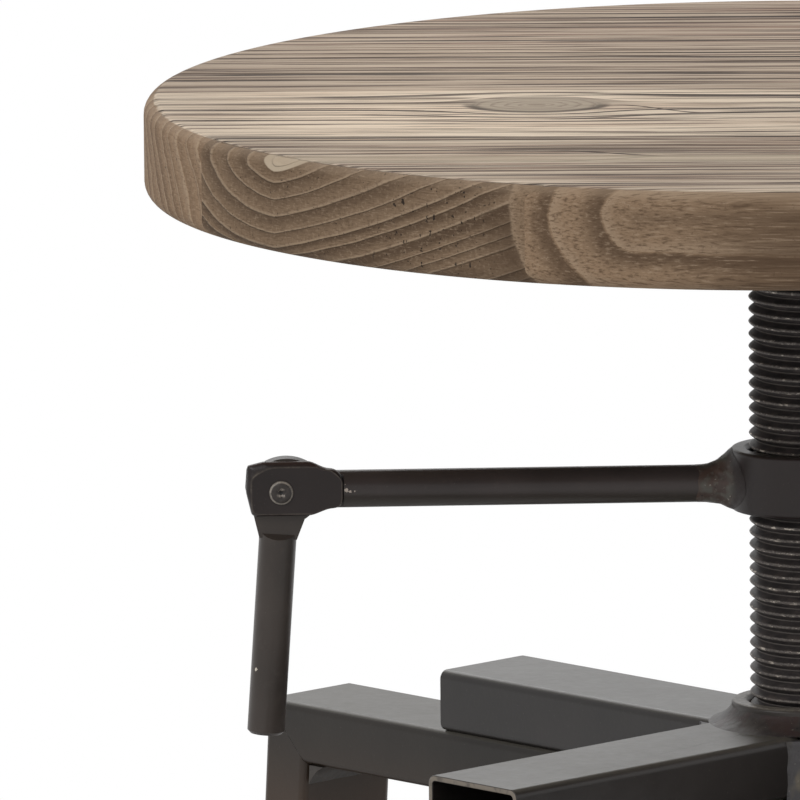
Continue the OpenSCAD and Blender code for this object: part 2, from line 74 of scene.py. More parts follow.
class Tree:
    """A node tree, written as expressions."""

    def __init__(self, owner):
        owner.use_nodes = True
        self.tree = owner.node_tree
        self.tree.nodes.clear()

    def add(self, kind, **props):
        node = self.tree.nodes.new(kind)
        for key, value in props.items():
            setattr(node, key, value)
        return node

    def put(self, socket, value):
        if isinstance(value, bpy.types.NodeSocket):
            self.tree.links.new(value, socket)
        else:
            socket.default_value = value

    def fed(self, node, *values):
        """A node's first output, once values have gone into its first inputs."""
        for socket, value in zip(node.inputs, values):
            self.put(socket, value)
        return node.outputs[0]

    def math(self, op, a, b=0.0):
        return self.fed(self.add("ShaderNodeMath", operation=op), a, b)

    def sum(self, *terms):
        total = terms[0]
        for term in terms[1:]:
            total = self.math("ADD", total, term)
        return total

    def mul(self, *terms):
        total = terms[0]
        for term in terms[1:]:
            total = self.math("MULTIPLY", total, term)
        return total

    def rest(self, share):
        """What a share leaves of 1."""
        return self.math("SUBTRACT", 1.0, share)

    def centred(self, field):
        """A field from 0 to 1, moved to lie round 0."""
        return self.math("SUBTRACT", field, 0.5)

    def hypot(self, a, b):
        return self.math("SQRT", self.math("ADD", self.mul(a, a), self.mul(b, b)))

    def vec(self, op, a, b=(0.0, 0.0, 0.0), scale=1.0, value=False):
        node = self.add("ShaderNodeVectorMath", operation=op)
        self.put(node.inputs[0], a)
        if op == "SCALE":
            self.put(node.inputs["Scale"], scale)
        elif op != "LENGTH":
            self.put(node.inputs[1], b)
        return node.outputs["Value" if value else "Vector"]

    def ease(self, value, low, high, start=0.0, end=1.0):
        """Goes smoothly from start to end while value goes from low to high."""
        node = self.add("ShaderNodeMapRange", interpolation_type="SMOOTHSTEP")
        return self.fed(node, value, low, high, start, end)

    def blend(self, share, a, b):
        """Two shaders mixed."""
        return self.fed(self.add("ShaderNodeMixShader"), share, a, b)


class Shader(Tree):
    """One material's node tree. Places are in millimetres in the CAD frame."""

    def __init__(self, name):
        self.mat = bpy.data.materials.new(name)
        super().__init__(self.mat)
        self.bsdf = self.add("ShaderNodeBsdfPrincipled")
        self.put(self.add("ShaderNodeOutputMaterial").inputs[0], self.bsdf.outputs[0])
        coords = self.add("ShaderNodeTexCoord")
        self.p = self.vec("SCALE", coords.outputs["Object"], scale=1.0 / MM)
        self.n = coords.outputs["Normal"]

    def split(self, vector):
        node = self.add("ShaderNodeSeparateXYZ")
        self.put(node.inputs[0], vector)
        return tuple(node.outputs)

    def from_screw(self):
        """Distance from the lift screw's axis."""
        x, y, _ = self.split(self.p)
        return self.hypot(x, y)

    def noise(self, stretch, detail, rough, shift):
        """Noise whose features are about stretch millimetres long on each axis."""
        place = self.vec("MULTIPLY", self.p, tuple(1.0 / s for s in stretch))
        place = self.vec("ADD", place, (shift, shift * 1.7, shift * 0.6))
        node = self.add("ShaderNodeTexNoise")
        for key, value in (("Vector", place), ("Scale", 1.0), ("Detail", detail), ("Roughness", rough)):
            self.put(node.inputs[key], value)
        return node.outputs["Fac"]

    def line_noise(self, value, shift):
        """Smooth noise along one number."""
        node = self.add("ShaderNodeTexNoise", noise_dimensions="1D")
        for key, value in (("W", self.math("ADD", value, shift)), ("Scale", 1.0), ("Detail", 1.0)):
            self.put(node.inputs[key], value)
        return node.outputs["Fac"]

    def dice(self, value):
        """A random number for each whole number."""
        node = self.add("ShaderNodeTexWhiteNoise", noise_dimensions="1D")
        self.put(node.inputs["W"], value)
        return node.outputs["Value"]

    def mix(self, share, a, b):
        node = self.add("ShaderNodeMix", data_type="RGBA")
        for index, value in ((0, share), (6, rgba(a)), (7, rgba(b))):
            self.put(node.inputs[index], value)
        return node.outputs[2]

    def layered(self, color, layers):
        """A colour with layers over it, each as (field, low, high, strength, tone)."""
        for field, low, high, strength, tone in layers:
            color = self.mix(self.ease(field, low, high, 0.0, strength), color, tone)
        return color

    def bump(self, height, depth, under=None):
        """Relief of the given depth in millimetres for a height from 0 to 1."""
        node = self.add("ShaderNodeBump")
        node.inputs["Distance"].default_value = depth * MM
        self.put(node.inputs["Height"], height)
        if under is not None:
            self.put(node.inputs["Normal"], under)
        return node.outputs[0]

    def mark(self, name):
        """A number painted on the mesh's points, or 0 where there is none."""
        return self.add("ShaderNodeAttribute", attribute_name=name).outputs["Fac"]

    def near(self, spot, radius, wobble):
        """1 within radius of a spot, both in millimetres, with a ragged edge."""
        away = self.vec("DISTANCE", self.p, spot, value=True)
        away = self.math("ADD", away, self.mul(wobble, radius))
        return self.ease(away, radius * 1.15, radius * 0.85)

    def finish(self, **inputs):
        names = {"color": "Base Color", "rough": "Roughness", "metal": "Metallic", "normal": "Normal",
                 "ior": "IOR"}
        for key, value in inputs.items():
            self.put(self.bsdf.inputs[names[key]], rgba(value) if key == "color" else value)
        return self.mat


def rgba(value):
    if isinstance(value, tuple) and len(value) == 3:
        return (*value, 1.0)
    return value


# Wood of the seat

FIBRE, HAIR, RING_LINE = (0.110, 0.070, 0.045), (0.062, 0.036, 0.024), (0.026, 0.015, 0.010)
# The first colour here is painted shade for the seat top; the second is the drawn lines' colour.
PAINTED_SHADE, DRAWN = (0.05, 0.03, 0.02), (0.030, 0.017, 0.011)
KNOT_LIGHT, KNOT_DARK, KNOT_EDGE = (0.400, 0.330, 0.250), (0.150, 0.105, 0.075), (0.030, 0.018, 0.012)
FLECK, PORE = (0.020, 0.012, 0.008), (0.012, 0.008, 0.006)


def round_knots(s, stave, g):
    """Where across the board each place's rings come from, as they pass round the knots, and for each knot
    the distance from its middle, its radius and its middle's y."""
    place = g.y
    hearts = []
    for knot_x, knot_y, radius, reach in stave.get("knots", ()):
        across = s.sum(g.y, -knot_y)
        along = s.mul(s.sum(g.x, -knot_x), 1.0 / reach)
        away = s.sum(s.mul(along, along), s.mul(across, across), s.mul(g.ripple, 12.0))
        share = s.math("DIVIDE", radius * radius, s.math("MAXIMUM", away, radius * radius))
        place = s.math("SUBTRACT", place, s.mul(across, share))
        hearts.append((s.math("SQRT", s.math("MAXIMUM", away, 0.0)), radius, knot_y))
    return place, hearts


def rings(s, side, rise, wide, spacing):
    """Growth rings counted from the pith. Wide says how much wider they are before and behind it."""
    side = s.mul(side, s.ease(side, -6.0, 5.0, 1.0 / wide[0], 1.0 / wide[1]))
    return s.mul(s.hypot(side, rise), 1.0 / spacing)


def growth_rings(s, stave, g, place):
    """The stave's rings. Its rim can follow a second pattern, shifted from the top's."""
    seed, (pith_y, pith_z), spacing = stave["seed"], stave["pith"], stave["spacing"]
    wander = s.mul(s.centred(s.noise((190, 30, 30), 2, 0.5, seed)), stave.get("wander", 9.0))
    across = s.sum(place, -pith_y, wander, g.ripple)
    depth = s.sum(g.z, -pith_z, s.mul(wander, 0.35))
    ring = rings(s, across, depth, stave["wide"], spacing)
    if "rim_rings" in stave:
        shift, wide, start, climb = stave["rim_rings"]
        lift = s.mul(s.math("MAXIMUM", s.sum(g.x, -start), 0.0), -climb)
        low = rings(s, s.sum(across, -shift), s.sum(depth, lift), wide, spacing)
        low = s.sum(low, s.mul(s.math("MAXIMUM", s.sum(low, -4.5), 0.0), 0.25))
        ring = s.sum(low, s.mul(s.math("SUBTRACT", ring, low), g.top))
    return s.sum(ring, s.line_noise(s.mul(ring, 0.55), seed))


def grain_fields(s, stave):
    """What a stave's surfaces share: places, facing, noises, and growth rings with their lines."""
    seed = stave["seed"]
    g = SimpleNamespace()
    g.x, g.y, g.z = s.split(s.p)
    nx, ny, g.nz = s.split(s.n)
    g.top = s.ease(g.nz, 0.91, 0.965)
    level = s.math("SQRT", s.sum(s.mul(nx, nx), s.mul(ny, ny), 0.0001))
    g.end = s.mul(s.ease(s.math("DIVIDE", s.math("ABSOLUTE", nx), level), 0.18, 0.55), s.rest(g.top))

    g.ripple = s.mul(s.centred(s.noise((34, 5, 5), 2, 0.5, seed + 3)), 2.2)
    g.fibre = s.noise((22, 0.5, 0.5), 3, 0.6, seed + 7)
    g.hair = s.noise((100, 2.0, 2.0), 2, 0.6, seed + 9)
    g.patch = s.noise((70, 22, 22), 2, 0.5, seed + 17)
    g.fade = s.noise((60, 9, 9), 2, 0.5, seed + 19)
    g.grain = s.noise((0.9, 0.9, 0.9), 3, 0.65, seed + 23)

    place, g.hearts = round_knots(s, stave, g)
    g.ring = growth_rings(s, stave, g, place)
    g.part, which = s.math("FRACT", g.ring), s.math("FLOOR", g.ring)
    g.chance = s.dice(s.sum(which, seed))
    g.other = s.dice(s.sum(which, seed + 31.0))
    strong = s.mul(s.ease(g.chance, 0.05, 0.95, 0.25, 1.0), s.ease(g.fade, 0.30, 0.52, 0.30, 1.0))
    g.line = s.mul(s.ease(g.part, 0.00, 0.06), s.ease(g.part, 0.40, 0.20), strong)
    # The ridge: each ring's raised latewood edge, used for relief and for a painted highlight on the top.
    g.ridge = s.math("MAXIMUM", s.ease(g.part, 0.86, 0.97), s.ease(g.part, 0.05, 0.01))
    return g


def knot_hearts(s, g, sheet):
    """The top with its knots: grey hearts with faint circles, in edges that are darkest in front."""
    for heart, radius, middle_y in g.hearts:
        circle = s.math("FRACT", s.mul(s.sum(heart, s.mul(g.ripple, 0.8)), 0.36))
        grey = s.mix(s.mul(s.ease(circle, 0.55, 0.95), 0.55), KNOT_LIGHT, KNOT_DARK)
        sheet = s.mix(s.mul(s.ease(heart, radius * 1.03, radius * 0.93), 0.80), sheet, grey)
        edge = s.mul(s.ease(heart, radius * 1.16, radius * 1.02), s.ease(heart, radius * 0.84, radius * 0.96))
        front = s.ease(g.y, middle_y + 6, middle_y - 6, 0.10, 0.80)
        sheet = s.mix(s.mul(edge, front), sheet, KNOT_EDGE)
    return sheet


def drawn_lines(s, stave, g, sheet):
    """The top with the dark lines that are drawn from one place to another."""
    drawn = 0.0
    for x0, y0, x1, y1, width, dark in stave.get("lines", ()):
        run = s.ease(g.x, x0, x1, y0, y1)
        off = s.math("ABSOLUTE", s.sum(g.y, s.mul(run, -1.0), s.mul(g.ripple, 0.35)))
        ends = s.ease(g.x, x0 - 4, x0 + 4), s.ease(g.x, x1 + 6, x1)
        drawn = s.math("MAXIMUM", drawn, s.mul(s.ease(off, width, width * 0.3), *ends, dark))
    return s.mix(drawn, sheet, DRAWN)


def washed_top(s, stave, g):
    """The top: light bands, dark lines beside painted-highlight ridges, knots, drawn lines, painted shade
    left and right.
    """
    base, warm, light = stave["top"]
    band = s.noise((150, 5, 5), 2, 0.5, stave["seed"] + 11)
    sheet = s.layered(s.mix(s.ease(g.patch, 0.35, 0.65), base, warm), (
        (band, 0.45, 0.70, 0.75, light), (g.other, 0.5, 1.0, 0.30, warm), (g.fibre, 0.46, 0.66, 0.58, FIBRE),
        (g.hair, 0.54, 0.61, 0.85, HAIR), (g.hair, 0.47, 0.40, 0.85, light)))
    # Painted highlight: a light ridge beside each dark ring line.
    sheet = s.mix(s.mul(g.ridge, 0.80), sheet, light)
    sheet = s.mix(s.mul(g.line, 0.93), sheet, RING_LINE)
    # Painted shade towards the top's left and right parts.
    sheet = s.layered(sheet, ((g.x, -75.0, -15.0, 0.11, PAINTED_SHADE), (g.x, -105.0, -150.0, 0.16, PAINTED_SHADE)))
    return drawn_lines(s, stave, g, knot_hearts(s, g, sheet))


def end_grain(s, stave, g):
    """The rim's butt ends: light latewood ridges with painted highlight above dark bands, darkest beside each
    ridge as painted shadow, with flecks, scratches and pores.
    """
    seed, (deep, mid, crest) = stave["seed"], stave["rim"]
    # Dark earlywood bands, darkest just beside each ridge as painted shadow.
    dark = s.ease(g.part, 0.03, 0.10), s.ease(g.part, 0.85, 0.12), s.ease(g.chance, 0.0, 1.0, 0.35, 0.85)
    butt = s.mix(s.mul(*dark), mid, deep)
    ridge = s.math("MAXIMUM", s.ease(g.part, 0.84, 0.97), s.ease(g.part, 0.04, 0.01))
    fleck = s.noise((1.5, 0.8, 0.8), 1, 0.5, seed + 13)
    scratch = s.noise((2.6, 2.6, 0.35), 2, 0.6, seed + 27)
    # Ridges lightened with the rim's light colour as painted highlight.
    butt = s.layered(s.mix(s.mul(ridge, 0.66), butt, crest), (
        (g.grain, 0.52, 0.72, 0.45, deep), (g.grain, 0.46, 0.30, 0.35, crest),
        (fleck, 0.72, 0.76, 0.75, FLECK),
        (scratch, 0.54, 0.68, 0.45, deep), (scratch, 0.44, 0.32, 0.30, crest)))
    pore = s.ease(s.noise((1.1, 1.1, 1.5), 1, 0.5, seed + 29), 0.68, 0.72)
    pored = s.ease(g.x, -108.0, -100.0), s.ease(g.x, -72.0, -78.0)
    return s.mix(s.mul(pore, *pored, 0.9), butt, PORE)


def from_eye(s, stave, g):
    """How far a place on the rim lies from the stave's eye, measured to the left and up or down."""
    eye_x, eye_z = stave["eye"][:2]
    left = s.math("MINIMUM", s.sum(g.x, -eye_x, s.mul(s.centred(g.patch), 9.0)), 0.0)
    tall = s.sum(g.z, -eye_z, s.mul(s.centred(g.fade), 5.0))
    return s.hypot(left, tall)


def eye_rings(s, stave, g, swirl, plank):
    """The rim's front with rings round the eye and painted shade beside and below it."""
    eye_z, first, step = stave["eye"][1:]
    deep, _, crest = stave["rim"]
    part = s.math("FRACT", s.mul(s.sum(swirl, -first), 1.0 / step))
    dark = s.mul(s.ease(part, 0.0, 0.07), s.ease(part, 0.62, 0.10))
    plank = s.mix(s.mul(dark, 0.80), plank, deep)
    plank = s.mix(s.mul(s.ease(part, 0.72, 1.0), 0.45), plank, crest)
    # Painted shade beside and below the eye.
    shade = s.mul(s.ease(g.x, -38.0, 0.0), s.ease(g.z, eye_z + 5, eye_z - 4, 0.45, 1.0))
    return s.mix(s.mul(shade, 0.72), plank, deep)


def wood_relief(s, g, flat):
    """Ridges and fibres on the top, ledges at the rim's butt ends and fibres on its plain front."""
    relief = s.sum(s.mul(g.ridge, 0.6), s.mul(g.line, -1.0), s.mul(g.fibre, 0.5), s.mul(g.hair, -0.5))
    ledge = s.sum(s.ease(g.part, 0.70, 0.97), s.ease(g.part, 0.10, 0.0), s.mul(g.grain, 0.25))
    plain = s.mul(s.sum(g.fibre, s.mul(g.grain, 0.4)), s.mul(flat, 0.6))
    ledge = s.sum(s.mul(ledge, s.rest(flat)), plain)
    return s.sum(s.mul(relief, g.top), s.mul(ledge, s.rest(g.top)))


def wood(name, stave):
    """Brushed, washed stave along X. Its growth rings lie round a pith line at (y, z), in millimetres, and
    can be wider before or behind it. They pass round its knots, and drawn lines are added on its top."""
    s = Shader(name)
    g = grain_fields(s, stave)
    deep, mid, crest = stave["rim"]
    sheet, butt = washed_top(s, stave, g), end_grain(s, stave, g)
    if "tip" in stave:
        butt = s.layered(butt, ((g.ring, 1.42, 1.34, 0.85, stave["tip"]),))
        sheet = s.layered(sheet, ((g.ring, 1.42, 1.34, 0.60, stave["tip"]),))
    plank = s.mix(s.ease(g.patch, 0.38, 0.62), mid, toned(mid, 1.15))
    flat = s.rest(g.end)
    if "eye" in stave:
        eye_z = stave["eye"][1]
        swirl = from_eye(s, stave, g)
        plank = eye_rings(s, stave, g, swirl, plank)
        flat = s.math("MAXIMUM", s.mul(flat, s.ease(g.y, -149.0, -152.0)), s.ease(swirl, 30.5, 29.5))
        butt = s.mix(s.mul(s.ease(swirl, 42.0, 30.0), s.ease(g.z, eye_z + 3, eye_z - 4), 0.65), butt, deep)
    plank = s.layered(plank, (
        (g.fibre, 0.50, 0.68, 0.75, deep), (g.fibre, 0.46, 0.32, 0.45, crest),
        (g.grain, 0.58, 0.74, 0.55, deep)))
    # Painted highlight: the rim's rounded upper edge is lighter where it turns upward.
    rim = s.layered(s.mix(flat, butt, plank), ((g.nz, 0.25, 0.80, 0.30, crest),))
    color = s.mix(g.top, rim, sheet)
    rough = s.sum(0.72, s.mul(g.fibre, 0.12))
    return s.finish(color=color, rough=rough, normal=s.bump(wood_relief(s, g, flat), 0.42), ior=1.30)


# Paint, steel and plastic


def toned(tone, factor):
    """A colour made lighter or darker."""
    return tuple(min(1.0, t * factor) for t in tone)


WEAR_AND_HIGHLIGHT, BARE, GRIT = (0.110, 0.092, 0.076), (0.230, 0.195, 0.155), (0.16, 0.14, 0.12)


def paint(
    name, tone, rough, seed, chips=(), lit_top=None, ior=1.38, under=None, speckle=0.6, low=None, along=None
):
    """Satin dark paint: slight orange peel, faint cloudiness, a few chips, and rubbed edges with a painted
    highlight where a mesh marks them. Level faces can take a speckled lighter colour as painted top light,
    faces that look down another one, the lower frame a third as a painted brownish reflection, and a tube's
    open end along a direction is rubbed bare."""
    s = Shader(name)
    cloud = s.noise((40, 40, 40), 3, 0.55, seed)
    fine = s.noise((3, 3, 3), 3, 0.6, seed + 2)
    peel = s.noise((1.6, 1.6, 1.6), 2, 0.5, seed + 4)
    grit = s.noise((0.5, 0.5, 0.5), 2, 0.6, seed + 5)
    nz = s.split(s.n)[2]
    color = s.mix(s.ease(cloud, 0.3, 0.7), toned(tone, 0.78), toned(tone, 1.28))
    color = s.mix(s.ease(fine, 0.55, 0.8, 0.0, 0.4), color, toned(tone, 1.4))
    if under is not None:
        color = s.mix(s.ease(nz, 0.15, -0.75), color, under)
    # Painted top light: level faces take a lighter, speckled colour.
    if lit_top is not None:
        speck = s.noise((1.3, 1.3, 1.3), 3, 0.65, seed + 8)
        level = s.mix(s.ease(speck, 0.38, 0.62), toned(lit_top, speckle), lit_top)
        color = s.mix(s.ease(nz, 0.55, 0.92), color, level)
    # Painted brownish reflection on the lower frame.
    if low is not None:
        color = s.mix(s.ease(s.split(s.p)[2], 512.0, 482.0), color, low)
    if along is not None:
        facing = s.math("ABSOLUTE", s.vec("DOT_PRODUCT", s.n, along, value=True))
        color = s.mix(s.mul(s.ease(facing, 0.88, 0.97), s.ease(fine, 0.30, 0.50, 0.45, 0.95)), color, BARE)
    # Rubbed edges with a painted edge highlight, where the mesh marks them.
    rub = s.noise((2.4, 2.4, 2.4), 3, 0.65, seed + 9)
    color = s.mix(s.mul(s.mark("wear_and_highlight"), s.ease(rub, 0.34, 0.62, 0.35, 1.0)), color, WEAR_AND_HIGHLIGHT)
    color = s.mix(s.mul(s.ease(grit, 0.71, 0.77), 0.4), color, GRIT)
    ragged = s.centred(s.noise((0.9, 0.9, 0.9), 3, 0.7, seed + 6))
    for spot, radius, tint in chips:
        color = s.mix(s.near(spot, radius, s.mul(ragged, 5.0)), color, tint)
    gloss = s.sum(rough, s.mul(s.centred(cloud), 0.16), s.mul(s.centred(fine), 0.10))
    normal = s.bump(grit, 0.012, s.bump(peel, 0.03))
    return s.finish(color=color, rough=gloss, normal=normal, ior=ior)


def screw_metal(name, radius, depth):
    """Blackened steel thread: rubbed and glinting in places along its crests, with a painted light line in
    its roots.
    """
    s = Shader(name)
    out = s.from_screw()
    crest = s.ease(out, radius - 0.42, radius - 0.12)
    flank = s.ease(out, radius - depth, radius - 0.3)
    blotch = s.noise((4, 4, 1.6), 3, 0.6, 3.0)
    spark = s.noise((2.2, 2.2, 0.8), 3, 0.7, 9.0)
    fine = s.noise((0.7, 0.7, 0.4), 2, 0.6, 5.0)
    color = s.mix(s.ease(blotch, 0.3, 0.7), (0.030, 0.026, 0.026), (0.052, 0.045, 0.044))
    color = s.mix(s.mul(flank, s.ease(blotch, 0.5, 0.7), 0.5), color, (0.085, 0.066, 0.058))
    color = s.mix(s.mul(crest, s.ease(fine, 0.35, 0.65, 0.35, 1.0)), color, (0.170, 0.150, 0.135))
    # Painted light line along the thread's roots.
    root = s.ease(out, radius - depth + 0.34, radius - depth + 0.10)
    color = s.mix(s.mul(root, 0.8), color, (0.200, 0.180, 0.165))
    glint = s.mul(crest, s.ease(spark, 0.56, 0.68))
    color = s.mix(glint, color, (0.62, 0.56, 0.48))
    rough = s.sum(0.42, s.mul(glint, -0.16), s.mul(fine, 0.14))
    normal = s.bump(s.sum(blotch, s.mul(fine, 0.5)), 0.10)
    return s.finish(color=color, metal=s.mul(glint, 0.7), rough=rough, normal=normal, ior=1.40)


def weld_paint(name, tone, tint, bruise, seed, pits, flecks, stretch=(1.0, 1.0, 1.0), onto=None):
    """Painted weld metal: smooth lumps in soft patches of colour, with a few pits and pale flecks. It can
    take the colour of the round piece it spreads onto, given that piece's radius."""
    s = Shader(name)

    def stretched(length):
        return tuple(length * k for k in stretch)

    lump = s.noise(stretched(4.0), 2, 0.55, seed)
    shade = s.noise(stretched(6.5), 2, 0.6, seed + 2)
    fine = s.noise(stretched(1.3), 3, 0.6, seed + 3)
    spot = s.noise(stretched(0.9), 2, 0.6, seed + 5)
    color = s.layered(s.mix(s.ease(lump, 0.42, 0.62), tone, tint), (
        (shade, 0.50, 0.64, 0.8, bruise), (fine, 0.52, 0.70, 0.5, toned(tint, 1.5)),
        (spot, 0.69, 0.73, flecks, (0.36, 0.33, 0.28)), (spot, 0.31, 0.27, pits, (0.010, 0.008, 0.008))))
    if onto is not None:
        radius, plain = onto
        away = s.sum(s.from_screw(), s.mul(lump, -1.2))
        color = s.mix(s.ease(away, radius + 0.9, radius - 0.3), color, plain)
    rough = s.sum(0.34, s.mul(fine, 0.20))
    normal = s.bump(s.sum(lump, s.mul(fine, 0.25), s.mul(s.ease(spot, 0.33, 0.26), -0.5)), 0.22)
    return s.finish(color=color, rough=rough, normal=normal, ior=1.40)


def rivet_paint(name, tone, middle, along, radius):
    """Painted rivet round the axis through middle: rim rubbed bright, also as painted highlight; painted
    shade in its dimple.
    """
    s = Shader(name)
    across = s.vec("CROSS_PRODUCT", s.vec("SUBTRACT", s.p, tuple(middle)), tuple(along))
    away = s.vec("LENGTH", across, value=True)
    fine = s.noise((0.9, 0.9, 0.9), 3, 0.65, 51.0)
    color = s.mix(s.ease(fine, 0.35, 0.70), toned(tone, 0.8), toned(tone, 1.5))
    # Rim rubbed bright, also standing as a painted highlight.
    rim = s.mul(s.ease(away, radius - 0.62, radius - 0.42), s.ease(away, radius - 0.02, radius - 0.18))
    color = s.mix(s.mul(rim, s.ease(fine, 0.30, 0.60, 0.35, 0.9)), color, (0.330, 0.295, 0.255))
    core = s.mul(s.ease(away, 1.45, 0.90), s.ease(fine, 0.50, 0.60))
    color = s.mix(s.mul(core, 0.9), color, (0.330, 0.290, 0.250))
    # Painted shade in the middle of the dimple.
    color = s.mix(s.ease(away, 0.60, 0.38), color, (0.006, 0.005, 0.005))
    return s.finish(color=color, rough=s.sum(0.30, s.mul(fine, 0.2)), normal=s.bump(fine, 0.10), ior=1.42)


def bright_steel(name, seed):
    """Zinc-plated fastener steel with faint turning marks."""
    s = Shader(name)
    blotch = s.noise((4, 4, 4), 3, 0.6, seed)
    mark = s.noise((0.9, 0.9, 0.12), 2, 0.5, seed + 2)
    color = s.mix(s.ease(blotch, 0.3, 0.7), (0.30, 0.29, 0.27), (0.48, 0.46, 0.43))
    rough = s.sum(0.30, s.mul(blotch, 0.18))
    return s.finish(color=color, metal=0.9, rough=rough, normal=s.bump(mark, 0.02))


def foot_plastic(name):
    """Black moulded plastic with a fine spark grain."""
    s = Shader(name)
    cloud = s.noise((12, 12, 12), 2, 0.5, 4.0)
    grain = s.noise((0.45, 0.45, 0.45), 2, 0.6, 8.0)
    color = s.mix(s.ease(cloud, 0.3, 0.7), (0.010, 0.010, 0.010), (0.020, 0.019, 0.018))
    color = s.mix(s.ease(grain, 0.6, 0.75, 0.0, 0.4), color, (0.05, 0.05, 0.048))
    return s.finish(color=color, rough=s.sum(0.46, s.mul(grain, 0.2)), normal=s.bump(grain, 0.06), ior=1.46)


# Mesh helpers


def box_mm(*names):
    """Lowest and highest corner of some CAD nodes together, in millimetres."""
    low = np.min([np.array(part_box(n)[0]) for n in names], axis=0)
    high = np.max([np.array(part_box(n)[1]) for n in names], axis=0)
    return low / MM, high / MM


def linked(name, data):
    """A new object in the scene."""
    obj = bpy.data.objects.new(name, data)
    bpy.context.scene.collection.objects.link(obj)
    return obj


def placed(name, mesh, body, mat, stands_for, angle):
    """An object that rides on a body in place of CAD nodes, with edges sharp from an angle on."""
    mesh.shade_smooth()
    mesh.set_sharp_from_angle(angle=math.radians(angle))
    mesh.materials.append(mat)
    obj = linked(name, mesh)
    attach(obj, body)
    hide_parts(*stands_for)


def piece(name, points, faces, body, slot, mat, stands_for, angle=50, wear_and_highlight=None):
    """A placed object made from points in millimetres. The last argument says how rubbed each point is and
    how much painted edge highlight it takes.
    """
    mesh = bpy.data.meshes.new(name)
    mesh.from_pydata([tuple(p) for p in np.asarray(points, float) * MM], [], faces)
    if wear_and_highlight is not None:
        mesh.attributes.new("wear_and_highlight", "FLOAT", "POINT").data.foreach_set("value", wear_and_highlight)
    work = bmesh.new()
    work.from_mesh(mesh)
    bmesh.ops.remove_doubles(work, verts=work.verts, dist=1e-7)
    bmesh.ops.dissolve_degenerate(work, edges=work.edges, dist=1e-8)
    bmesh.ops.recalc_face_normals(work, faces=work.faces)
    work.to_mesh(mesh)
    work.free()
    placed(name, mesh, body, mat, stands_for, angle)


def lumps(point, scale, seed):
    """Smooth noise from about -1 to 1 at a point, with lumps about scale millimetres wide."""
    return noise.noise(Vector(point) / scale + Vector((seed * 7.3, seed * 3.1, seed * 5.7)))


def grid_faces(rows, columns, wrap_rows=False):
    """Four-sided faces between the rows of a grid of points, each row closed to a ring."""
    faces = []
    for i in range(rows if wrap_rows else rows - 1):
        for j in range(columns):
            a, b = i * columns + j, i * columns + (j + 1) % columns
            c, d = ((i + 1) % rows) * columns + (j + 1) % columns, ((i + 1) % rows) * columns + j
            faces.append((a, b, c, d))
    return faces


def end_faces(rows, columns):
    """The first and the last row of a grid, each as one face."""
    return [tuple(range(columns)), tuple(range((rows - 1) * columns, rows * columns))[::-1]]


def round_steps(count):
    """Cosine and sine at even steps round a circle."""
    angles = [2 * math.pi * i / count for i in range(count)]
    return [(math.cos(a), math.sin(a)) for a in angles]


def swell(place, fine, seed, uneven):
    """A factor near 1 that varies with lumps, and a little with ones that are finer."""
    small = np.array(place) * fine
    return 1 + uneven * (0.10 * lumps(place, 1.0, seed) + 0.05 * lumps(small, 1.0, seed + 1))


def bead(path, closed, width, height, seed, belly=0.12, ripple=0.02, uneven=1.0):
    """A weld bead along a path of (corner, outward, upward) in millimetres. It fills the corner between the
    two directions, with ripples and lumps. Returns points and faces."""
    steps, sunk = 10, 0.06
    points, length = [], 0.0
    for k, (corner, u, v) in enumerate(path):
        if k:
            length += float(np.linalg.norm(corner - path[k - 1][0]))
        place = (length / 5, seed, 0)
        if closed:
            a = 2 * math.pi * k / len(path)
            place = (math.cos(a) * 3, math.sin(a) * 3, seed)
        wide = width * swell(place, 3.1, seed, uneven)
        tall = height * swell(place, 2.7, seed + 2, uneven)
        wave = ripple * math.sin(length * 2.6 + 2 * lumps(place, 1.0, seed + 4))
        ring = []
        for i in range(steps + 1):
            t = i / steps
            angle = math.pi / 2 * t
            bulge = math.sin(math.pi * t)
            hollow = np.array([1 - math.sin(angle), 1 - math.cos(angle)])
            shape = np.array([1 - t, t]) * (belly + 0.45) + hollow * (0.55 - belly) + bulge * wave
            spot = corner + u * (wide * shape[0]) + v * (tall * shape[1])
            ring.append(spot + (u + v) * 0.12 * uneven * bulge * lumps(spot, 1.1, seed + 5))
        ring[0] = ring[0] - v * sunk
        ring[-1] = ring[-1] - u * sunk
        ring.append(corner - (u + v) * sunk)
        points.extend(ring)
    rows, columns = len(path), steps + 2
    faces = grid_faces(rows, columns, wrap_rows=closed)
    return points, faces if closed else faces + end_faces(rows, columns)


def merged(parts):
    """Several (points, faces) as one."""
    points, faces = [], []
    for p, f in parts:
        faces.extend(tuple(i + len(points) for i in face) for face in f)
        points.extend(p)
    return points, faces


def heading(degrees):
    """Level direction at an angle round the screw's axis."""
    a = math.radians(degrees)
    return np.array([math.cos(a), math.sin(a), 0.0])


def circle_path(radius, z, up, count=120):
    """A bead's path round the screw's axis, with its upward side along up."""
    path = []
    for x, y in round_steps(count):
        out = np.array([x, y, 0.0])
        path.append((out * radius + UP * z, out, UP * up))
    return path


def line_path(start, end, u, v, step=0.6):
    """A bead's straight path between the directions u and v."""
    count = max(3, int(np.linalg.norm(end - start) / step))
    return [(start + (end - start) * k / count, u, v) for k in range(count + 1)]


def points_of(name):
    """A CAD node's points in millimetres, seen from the fold pin's middle."""
    obj = nodes[name]
    return [np.array(obj.matrix_world @ v.co) / MM - PIN for v in obj.data.vertices]


# Sizes read from the frame, in millimetres, and a few that it doesn't hold

